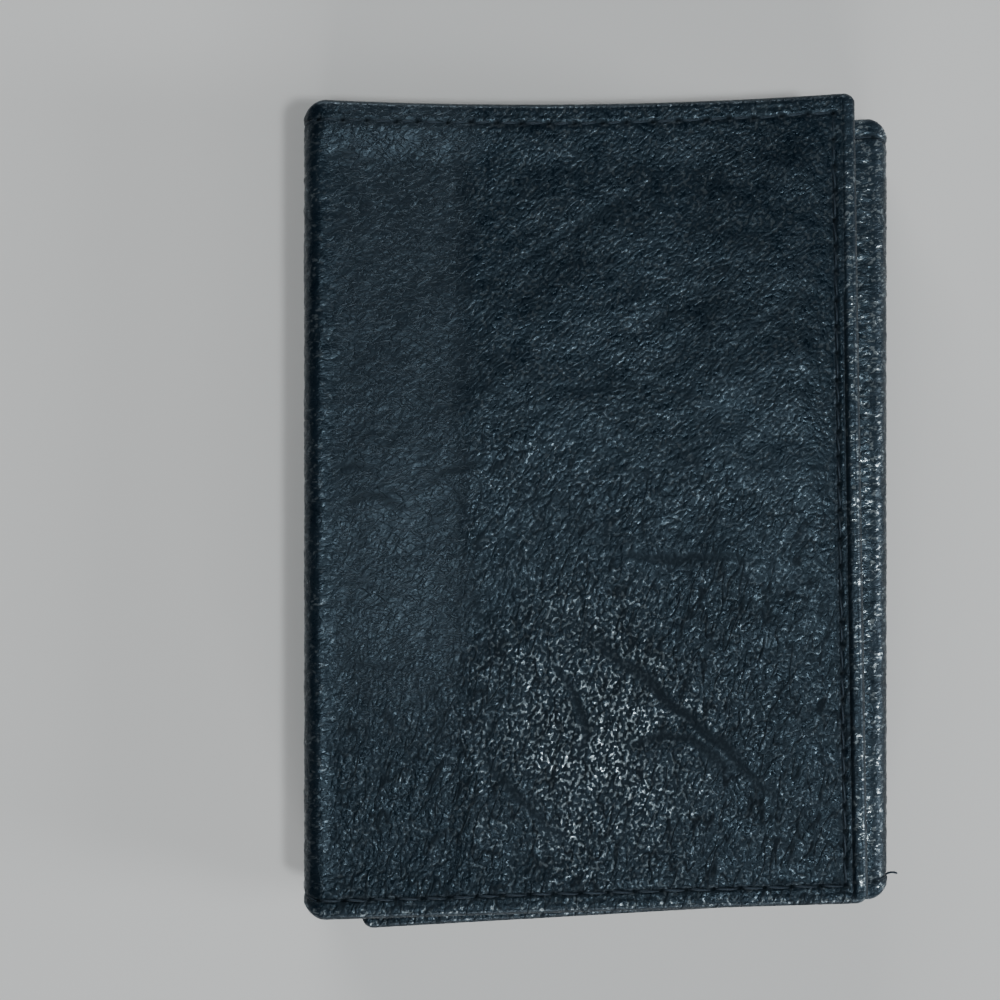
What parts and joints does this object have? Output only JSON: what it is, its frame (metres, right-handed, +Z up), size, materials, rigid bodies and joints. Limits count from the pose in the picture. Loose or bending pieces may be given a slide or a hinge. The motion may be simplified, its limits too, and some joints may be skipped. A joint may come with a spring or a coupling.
{
  "type": "trifold wallet",
  "caption": "Closed trifold wallet of pebbled black leather with stitched turned edges, stepped card pockets, an identity-card window and a banknote compartment.",
  "frame": {"origin": "centre of the closed wallet's footprint, on the surface it lies on", "axes": "+Z up from the centre panel to the cover, +Y towards the banknote compartment's open edge, +X from the cover fold to the inner fold"},
  "size_m": [0.079, 0.112, 0.0186],
  "materials": {
    "shell_leather": "pebbled, dyed blue-black, semi-gloss, worn glossy at the folds and turned edges",
    "pocket_leather": "thin smooth split leather, fine grain, satin",
    "lining": "plain-woven polyester, matte",
    "thread": "twisted bonded polyester thread, low sheen",
    "clear_film": "clear flexible film, slightly scuffed"
  },
  "bodies": {
    "centre": {"centre_leather": "shell_leather", "centre_lining": "lining", "centre_note_wall": "pocket_leather", "centre_slip_pocket": "pocket_leather", "id_window_film": "clear_film", "id_window_frame": "pocket_leather", "centre_upper_seam_thread": "thread", "centre_lower_seam_thread": "thread", "id_frame_seam_thread": "thread"},
    "cover_spine": {"cover_spine_leather": "shell_leather", "cover_spine_lining": "lining", "cover_spine_note_wall": "pocket_leather", "cover_spine_upper_seam_thread": "thread", "cover_spine_lower_seam_thread": "thread"},
    "cover": {"cover_leather": "shell_leather", "cover_lining": "lining", "cover_note_wall": "pocket_leather", "cover_card_pocket_1": "pocket_leather", "cover_card_pocket_2": "pocket_leather", "cover_card_pocket_3": "pocket_leather", "cover_seam_thread": "thread"},
    "inner_spine": {"inner_spine_leather": "shell_leather", "inner_spine_lining": "lining", "inner_spine_note_wall": "pocket_leather", "inner_spine_upper_seam_thread": "thread", "inner_spine_lower_seam_thread": "thread"},
    "inner_flap": {"inner_flap_leather": "shell_leather", "inner_flap_lining": "lining", "inner_flap_note_wall": "pocket_leather", "inner_flap_card_pocket_1": "pocket_leather", "inner_flap_card_pocket_2": "pocket_leather", "inner_flap_card_pocket_3": "pocket_leather", "inner_flap_seam_thread": "thread"}
  },
  "joints": [
    {"name": "cover_fold", "type": "hinge", "parent": "centre", "child": "cover_spine", "pos_m": [-0.03886, 0, 0.00064], "axis": [0, -1, 0], "range_deg": [0, 90]},
    {"name": "cover_fold_upper", "type": "hinge", "parent": "cover_spine", "child": "cover", "pos_m": [-0.03886, 0, 0.01795], "axis": [0, -1, 0], "range_deg": [0, 90]},
    {"name": "inner_fold", "type": "hinge", "parent": "centre", "child": "inner_spine", "pos_m": [0.03886, 0, 0.00064], "axis": [0, 1, 0], "range_deg": [0, 90]},
    {"name": "inner_fold_upper", "type": "hinge", "parent": "inner_spine", "child": "inner_flap", "pos_m": [0.03886, 0, 0.01076], "axis": [0, 1, 0], "range_deg": [0, 90]}
  ],
  "couplings": [
    {"joint": "cover_fold_upper", "follows": "cover_fold", "ratio": 1},
    {"joint": "inner_fold", "follows": "cover_fold", "ratio": 0.2},
    {"joint": "inner_fold_upper", "follows": "cover_fold", "ratio": 0.2}
  ]
}
